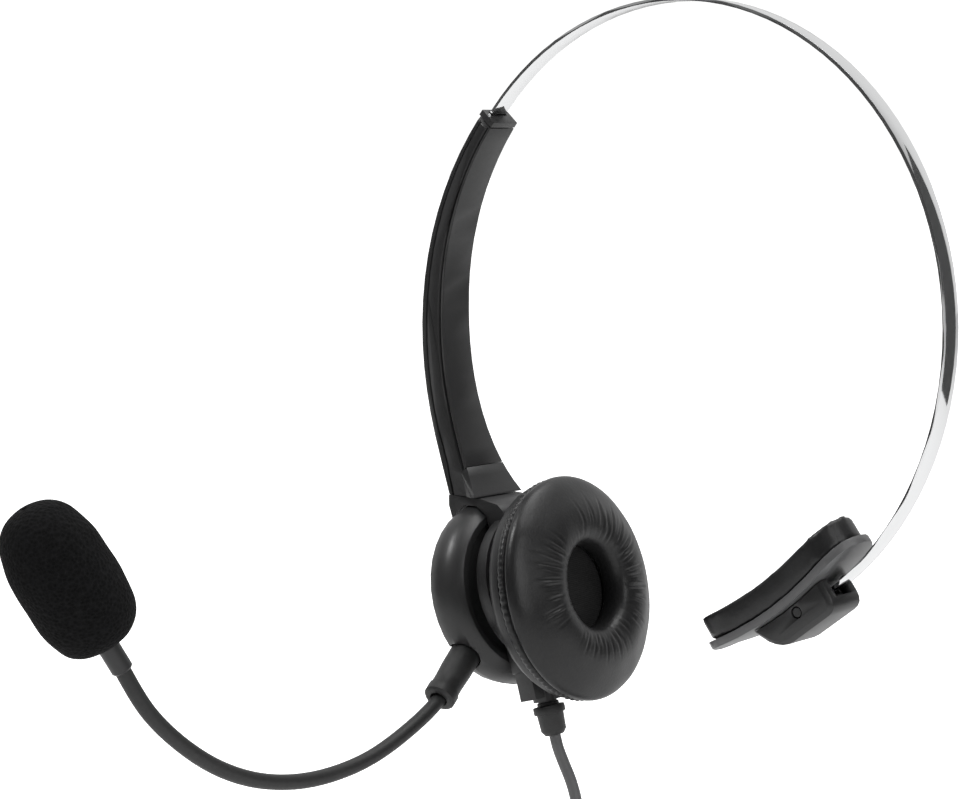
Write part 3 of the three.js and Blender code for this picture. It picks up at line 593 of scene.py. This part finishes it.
# %% Speaker cloth
def cloth_material():
    material, shader = plain_material("speaker_cloth", (0.006, 0.006, 0.006), 0.9)
    tree = material.node_tree
    place = add(tree, "ShaderNodeTexCoord")
    warp = add(tree, "ShaderNodeTexWave", bands_direction="Y", Scale=700.0, Distortion=0.6)
    weft = add(tree, "ShaderNodeTexWave", bands_direction="Z", Scale=700.0, Distortion=0.6)
    threads = add(tree, "ShaderNodeMath", operation="MULTIPLY")
    shade = add(tree, "ShaderNodeMix", data_type="RGBA")
    shade.inputs["A"].default_value = (0.002, 0.002, 0.002, 1)
    shade.inputs["B"].default_value = (0.014, 0.014, 0.014, 1)
    bump = add(tree, "ShaderNodeBump", Strength=0.6, Distance=0.0001)
    for wave in (warp, weft):
        tree.links.new(place.outputs["Object"], wave.inputs["Vector"])
    tree.links.new(warp.outputs["Fac"], threads.inputs[0])
    tree.links.new(weft.outputs["Fac"], threads.inputs[1])
    tree.links.new(threads.outputs[0], shade.inputs["Factor"])
    tree.links.new(threads.outputs[0], bump.inputs["Height"])
    tree.links.new(shade.outputs["Result"], shader.inputs["Base Color"])
    tree.links.new(bump.outputs["Normal"], shader.inputs["Normal"])
    return material


speaker_cloth = cloth_material()
print("made", speaker_cloth.name)

# %% [markdown]
# ## The hard parts
# A CAD part is made of flat triangles with edges as sharp as a knife. A moulded part has rounded
# edges, which show as thin lines of light. Modifiers give that without touching the mesh: the loose
# triangles are welded, the edges get a small bevel, and a few geometry nodes shade the rest smooth.

# %% Modifier that shades smooth by angle
def smoothing_nodes():
    group = bpy.data.node_groups.new("smooth_by_angle", "GeometryNodeTree")
    group.interface.new_socket("Geometry", in_out="INPUT", socket_type="NodeSocketGeometry")
    group.interface.new_socket("Geometry", in_out="OUTPUT", socket_type="NodeSocketGeometry")
    given = group.nodes.new("NodeGroupInput")
    result = group.nodes.new("NodeGroupOutput")
    forget = group.nodes.new("GeometryNodeRemoveAttribute")
    forget.inputs["Name"].default_value = "custom_normal"
    faces = group.nodes.new("GeometryNodeSetShadeSmooth")
    edges = group.nodes.new("GeometryNodeSetShadeSmooth")
    edges.domain = "EDGE"
    angle = group.nodes.new("GeometryNodeInputMeshEdgeAngle")
    gentle = group.nodes.new("FunctionNodeCompare")
    gentle.operation = "LESS_THAN"
    gentle.inputs["B"].default_value = math.radians(38)
    link = group.links.new
    link(given.outputs[0], forget.inputs["Geometry"])
    link(forget.outputs[0], faces.inputs["Geometry"])
    link(faces.outputs[0], edges.inputs["Geometry"])
    link(angle.outputs["Unsigned Angle"], gentle.inputs["A"])
    link(gentle.outputs[0], edges.inputs["Shade Smooth"])
    link(edges.outputs[0], result.inputs[0])
    return group


smooth_by_angle = smoothing_nodes()


def soften(piece, edge=0.0):
    weld = piece.modifiers.new("weld", "WELD")
    weld.merge_threshold = 1e-6
    if edge:
        bevel = piece.modifiers.new("soft_edges", "BEVEL")
        bevel.width = edge
        bevel.segments = 2
        bevel.limit_method = "ANGLE"
        bevel.angle_limit = math.radians(40)
    shade = piece.modifiers.new("shade", "NODES")
    shade.node_group = smooth_by_angle


print("group", smooth_by_angle.name)

# %% Give every CAD node its finish
finish_of_slot = {
    "black_plastic": moulded_black,
    "satin_plastic": satin_black,
    "rubber": soft_rubber,
    "leatherette": leatherette,
    "foam": open_foam,
    "cloth": speaker_cloth,
    "polished_steel": polished_steel,
    "spring_steel": plain_steel,
    "circuit_board": green_board,
    "film": clear_film,
    "gold": gold_plate,
}
slot_of_node = {row["node"]: row["material_slot"] for row in frame["record"]["subparts"]}
soft_edges = {
    "arm_outer_shell": 0.3 * MM,
    "arm_inner_cover": 0.25 * MM,
    "arm_mouth_cap": 0.55 * MM,
    "bracket": 0.35 * MM,
    "turret_dome": 0.2 * MM,
    "turret_cap": 0.2 * MM,
    "temple_plate": 0.4 * MM,
    "temple_hub": 0.9 * MM,
    "strain_relief": 0.25 * MM,
    "boom_boot": 0.3 * MM,
    "plug_body": 0.3 * MM,
    "cord_tie": 0.15 * MM,
    "headband_strip": 0.1 * MM,
}
for name, piece in nodes.items():
    piece.data.materials.clear()
    piece.data.materials.append(finish_of_slot[slot_of_node[name]])
    soften(piece, soft_edges.get(name, 0.0))
# The temple plate is painted pale grey, a painted reflection of the light on its glossy underside.
nodes["temple_plate"].data.materials[0] = plate_painted_reflection
nodes["temple_pivot_pin"].data.materials[0] = satin_black
print("finished", len(nodes), "CAD nodes")

# %% [markdown]
# ## Turned pieces
# The cushion and the windscreen are round about an axis. A single vertex is pushed along half of the
# outline in edit mode, and the outline is then spun round the axis.

# %% Helper: spin an outline round an axis
def turned_piece(name, outline, place, steps):
    bpy.ops.object.select_all(action="DESELECT")
    bpy.ops.mesh.primitive_plane_add(size=1 * MM)
    piece = bpy.context.object
    piece.name = name
    piece.data.name = name
    bpy.ops.object.mode_set(mode="EDIT")
    bpy.ops.mesh.select_all(action="SELECT")
    bpy.ops.mesh.merge(type="CENTER")
    here = Vector((0, 0, 0))
    for radius, height in outline:
        there = Vector((radius, 0, height)) * MM
        if here.length == 0:
            bpy.ops.transform.translate(value=there)
        else:
            bpy.ops.mesh.extrude_region_move(TRANSFORM_OT_translate={"value": there - here})
        here = there
    bpy.ops.mesh.select_all(action="SELECT")
    bpy.ops.mesh.spin(steps=steps, angle=2 * math.pi, center=(0, 0, 0), axis=(0, 0, 1))
    bpy.ops.mesh.select_all(action="SELECT")
    bpy.ops.mesh.remove_doubles(threshold=1e-6)
    bpy.ops.mesh.normals_make_consistent(inside=False)
    bpy.ops.object.mode_set(mode="OBJECT")
    piece.data.transform(place)
    for polygon in piece.data.polygons:
        polygon.use_smooth = True
    return piece


def smooth_outline(points, per_span):
    path = smooth_path([Vector((r, 0, h)) for r, h in points], per_span)
    return [(point.x, point.z) for point in path]


print("turning helper ready")

# %% [markdown]
# ## Filling a cover
# A filled cover is stretched by what is inside it. A short cloth simulation does the same: air pressure
# from inside, no gravity, and a cap on how far any point may move, so that the cover can't drift into
# the part it sits on. The result is written into the mesh, and no simulation is left on the piece.

# %% Helper: swell a piece as cloth
def swell(piece, pressure, cap, frames=20):
    rest = [vertex.co.copy() for vertex in piece.data.vertices]
    cloth = piece.modifiers.new("swell", "CLOTH")
    cloth.settings.use_pressure = True
    cloth.settings.uniform_pressure_force = pressure
    cloth.settings.effector_weights.gravity = 0
    cloth.settings.quality = 6
    cloth.settings.tension_stiffness = 12
    cloth.settings.bending_stiffness = 0.6
    scene = bpy.context.scene
    for step in range(1, frames + 1):
        scene.frame_set(step)
    evaluated = piece.evaluated_get(bpy.context.evaluated_depsgraph_get())
    moved = [vertex.co.copy() for vertex in evaluated.data.vertices]
    piece.modifiers.remove(cloth)
    scene.frame_set(1)
    furthest = 0.0
    for vertex, start, end in zip(piece.data.vertices, rest, moved):
        shift = end - start
        if shift.length > cap:
            shift *= cap / shift.length
        furthest = max(furthest, shift.length)
        vertex.co = start + shift
    return furthest


print("cloth helper ready")

# %% [markdown]
# ## Ear cushion
# A foam ring is sewn into a sleeve of leatherette. The skin is gathered to fit the small inner hole,
# so it folds into short pleats that run outwards from the hole, deeper on some sides than on others.
# A sewn seam runs round the outside, and the skirt below it puckers where it is drawn over the rim.
# The pleats are grooves moved into the mesh: each has its own place, length and depth, from a fixed
# seed, so that every run is the same. The whole cover is then swelled a little.

# %% Cushion ring
CUSHION_OUTSIDE = [
    (25.3, -0.9), (26.4, -0.8), (26.8, 0), (26.7, 0.7), (25.9, 1.2), (26.8, 1.7), (27.1, 2.4), (26.7, 3.7),
    (25.2, 5.1), (22.1, 6.9), (18.7, 8.5),
    (15.4, 9.2), (12.7, 8.8), (11.1, 7.8), (10.2, 6), (10, 4), (10.4, 1.9),
]
CUSHION_BACK = [(12.4, 1.8), (18, 1.7), (24.4, 1.6), (25.2, 0.4), (25.3, -0.9)]

outline = [*smooth_outline(CUSHION_OUTSIDE, 3), *CUSHION_BACK]
ear_cushion = turned_piece("ear_cushion", outline, Matrix.Identity(4), 360)
print("ring:", len(ear_cushion.data.vertices), "vertices")

# %% Pleats and puckers
PUCKERS = 96
PUCKER_DEPTH = 0.3 * MM
SKIRT_LOW = -1.2 * MM
SKIRT_HIGH = 1.3 * MM
SKIRT_FADE = 0.8 * MM
SKIRT_INNER_R = 25.8 * MM
SKIRT_TOP = 2 * MM
HOLE_EDGE = 10 * MM
CREST = 18 * MM
FACE_FROM = 2.2 * MM
SKIN_SLACK = 0.14 * MM
SLACK_SCALE = 160
PLEAT_REACH = 3
PLEAT_FADE = 3 * MM
RIDGE_SHARE = 0.45
RIDGE_PLACE = 1.5
PRESSURE = 4
CUSHION_CAP = 0.3 * MM
dice = random.Random(7)


def new_pleat(angle, start, long, depth):
    return {
        "angle": angle + dice.gauss(0, 0.02),
        "start": start * dice.uniform(0.93, 1.07),
        "stop": start + long * dice.uniform(0.75, 1.2),
        "depth": depth * dice.uniform(0.5, 1.1),
        "width": dice.uniform(0.34, 0.5) * MM,
        "bend": dice.uniform(-0.04, 0.04),
    }


def row_of_pleats(middle_angle, count, spacing, start, long, depth):
    """A row of pleats side by side, shallower towards both of its ends."""
    row = []
    for k in range(count):
        off = k - (count - 1) / 2
        weight = math.cos(off / count * math.pi) ** 0.5
        row.append(new_pleat(middle_angle + off * spacing, start, long, depth * weight))
    return row


pleats = [
    *row_of_pleats(math.pi * 0.94, 14, 0.093, 14.6 * MM, 7.5 * MM, 0.62 * MM),
    *row_of_pleats(-0.12, 13, 0.11, 12.6 * MM, 6.5 * MM, 0.6 * MM),
    *row_of_pleats(math.pi * 0.3, 12, 0.12, 13.5 * MM, 8 * MM, 0.28 * MM),
    *row_of_pleats(math.pi * 1.45, 9, 0.16, 13 * MM, 6 * MM, 0.16 * MM),
    *row_of_pleats(math.pi, 40, 0.157, 10.6 * MM, 4.5 * MM, 0.2 * MM),
]


def turn_between(a, b):
    return (a - b + math.pi) % (2 * math.pi) - math.pi


def fade(value, start, stop, soft):
    inwards = min(1.0, max(0.0, (value - start) / soft))
    outwards = min(1.0, max(0.0, (stop - value) / soft))
    return (inwards * inwards * (3 - 2 * inwards)) * (outwards * outwards * (3 - 2 * outwards))


def pleat_depth(radius, angle):
    total = 0.0
    for pleat in pleats:
        outwards = (radius - HOLE_EDGE) / (CREST - HOLE_EDGE)
        off = turn_between(angle, pleat["angle"] + pleat["bend"] * outwards) * radius
        across = abs(off) / pleat["width"]
        if across < PLEAT_REACH:
            groove = math.exp(-(across**2))
            ridges = RIDGE_SHARE * math.exp(-((across - RIDGE_PLACE) ** 2))
            along = fade(radius, pleat["start"], pleat["stop"], PLEAT_FADE)
            total += pleat["depth"] * (groove - ridges) * along
    return total


def pucker(height, angle):
    """Small gathers of the skirt, where it is drawn over the cup's rim."""
    strength = 0.5 + 0.5 * noise.noise(Vector((math.cos(angle), math.sin(angle), 0.3)) * 2.2)
    ripple = math.sin(angle * PUCKERS + 1.5 * math.sin(angle * 5))
    return PUCKER_DEPTH * strength * ripple * fade(height, SKIRT_LOW, SKIRT_HIGH, SKIRT_FADE)


def wrinkle(piece):
    for vertex in piece.data.vertices:
        radius = math.hypot(vertex.co.x, vertex.co.y)
        angle = math.atan2(vertex.co.y, vertex.co.x)
        height = vertex.co.z
        if height > FACE_FROM and radius > HOLE_EDGE:
            slack = SKIN_SLACK * noise.noise(vertex.co * SLACK_SCALE)
            vertex.co.z += slack - pleat_depth(radius, angle)
        if radius > SKIRT_INNER_R and height < SKIRT_TOP:
            vertex.co.xy *= 1 + pucker(height, angle) / radius


wrinkle(ear_cushion)
print("cushion swelled by up to", swell(ear_cushion, PRESSURE, CUSHION_CAP), "m")
ear_cushion.data.transform(cup_frame)
ear_cushion.data.materials.append(leatherette)
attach(ear_cushion, "earcup")
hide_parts("ear_cushion_cover", "ear_cushion_foam")
print("pleats:", len(pleats), "puckers:", PUCKERS)

# %% [markdown]
# ## Foam windscreen
# The windscreen is a rounded plug of foam that slips over the microphone. It bulges a little, and its
# skin is never quite even, so it is spun from a soft outline and then pushed about by a slow noise.

# %% Windscreen
FOAM_OUTSIDE = [
    (2.75, 3), (5.6, 3.3), (8.2, 5.2), (9.8, 8.8), (10.4, 14), (10.4, 21.5), (9.8, 27), (8.3, 31.6),
    (5.9, 34.6), (2.8, 36), (0.6, 36.3),
]
FOAM_INSIDE = [(0.6, 18.9), (4.8, 18.5), (4.9, 5.4), (2.75, 4.2), (2.75, 3)]

outline = [*smooth_outline(FOAM_OUTSIDE, 5), *FOAM_INSIDE]
windscreen = turned_piece("foam_windscreen", outline, mic_frame, 96)
for vertex in windscreen.data.vertices:
    away = vertex.co - mic_start
    away -= mic_axis * away.dot(mic_axis)
    if away.length > 6 * MM:
        vertex.co += away.normalized() * 0.22 * MM * noise.noise(vertex.co * 180)
windscreen.data.materials.append(open_foam)
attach(windscreen, "boom")
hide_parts("mic_windscreen")
print("windscreen:", len(windscreen.data.vertices), "vertices")

# %% [markdown]
# ## Neck of the strain relief
# The strain relief is a rubber moulding with a groove that clips in the bracket's edge. The neck of that
# groove is what joins its flange to the bracket, so a short round neck is made from a cylinder.

# %% Neck
RELIEF_Z = 4
NECK_TOP = -26.5
NECK_BOTTOM = -29

bpy.ops.object.select_all(action="DESELECT")
bpy.ops.mesh.primitive_cylinder_add(vertices=32, radius=2.3 * MM, depth=(NECK_TOP - NECK_BOTTOM) * MM)
neck = bpy.context.object
neck.name = "strain_relief_neck"
bpy.ops.object.mode_set(mode="EDIT")
bpy.ops.mesh.select_all(action="SELECT")
bpy.ops.mesh.bevel(offset=0.15 * MM, segments=2)
bpy.ops.object.mode_set(mode="OBJECT")
upright = Matrix.Rotation(math.pi / 2, 4, "X")
at_bracket = Matrix.Translation(Vector((RELIEF_X, (NECK_TOP + NECK_BOTTOM) / 2, RELIEF_Z)) * MM)
neck.data.transform(turret_frame @ at_bracket @ upright)
neck.data.materials.append(soft_rubber)
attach(neck, "arm")
print("neck made:", len(neck.data.polygons), "faces")

# %% [markdown]
# ## Gooseneck
# The boom is a bendable spring in a smooth rubber sleeve. The same points as the CAD tube's give a
# finer round tube.

# %% Gooseneck sleeve
BOOM_IN_TURRET = Matrix.Translation((0, 0, -6.5 * MM))
BOOT_ANGLE = math.radians(36)


def along_boot(distance):
    return (-distance * math.cos(BOOT_ANGLE), -distance * math.sin(BOOT_ANGLE), 0)


boom_route = [
    along_boot(17), along_boot(30), along_boot(38),
    (-52.2, -29.8, 0.6), (-67.5, -31.7, 1.2), (-81.5, -30.8, 2),
    (-94.4, -27.2, 2.9), (-106.1, -20.6, 4), (-117.5, -9.5, 5.4), (-124.7, 4.3, 6.7),
]
boom_path = smooth_path(in_mm(boom_route, turret_frame @ BOOM_IN_TURRET), 10)
gooseneck = spline_tube("gooseneck_sleeve", boom_path, 1.75 * MM, 6)
gooseneck.data.materials.append(soft_rubber)
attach(gooseneck, "boom")
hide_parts("boom_tube")
cord.data.materials.append(grey_jacket)
print("gooseneck length", round(path_length(boom_path), 4))

# %% [markdown]
# ## Temple pad
# A slab of foam in a leatherette cover, glued to the plate. It is soft, so its edges are round and its
# face swells between them. The CAD slab is copied, remeshed evenly and blown up a little as cloth,
# and how far it may move is capped so that it stays clear of the plate.

# %% Copy of the slab, evenly meshed
def soft_copy(name, node, voxel):
    piece = bpy.data.objects.new(name, nodes[node].data.copy())
    bpy.context.scene.collection.objects.link(piece)
    shape = bmesh.new()
    shape.from_mesh(piece.data)
    bmesh.ops.remove_doubles(shape, verts=shape.verts, dist=1e-6)
    shape.to_mesh(piece.data)
    shape.free()
    bpy.ops.object.select_all(action="DESELECT")
    bpy.context.view_layer.objects.active = piece
    piece.select_set(True)
    remesh = piece.modifiers.new("even", "REMESH")
    remesh.mode = "VOXEL"
    remesh.voxel_size = voxel
    bpy.ops.object.modifier_apply(modifier=remesh.name)
    for polygon in piece.data.polygons:
        polygon.use_smooth = True
    return piece


temple_cushion = soft_copy("temple_cushion_cover", "temple_cushion", 0.7 * MM)
print("slab:", len(temple_cushion.data.vertices), "vertices")

# %% Swell the temple pad
PAD_CAP = 0.35 * MM
print("swelled by up to", swell(temple_cushion, PRESSURE, PAD_CAP), "m")
relax = temple_cushion.modifiers.new("relax", "SMOOTH")
relax.factor = 0.5
relax.iterations = 4
temple_cushion.data.materials.clear()
temple_cushion.data.materials.append(leatherette)
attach(temple_cushion, "temple_pad")
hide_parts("temple_cushion")
print("temple pad made")
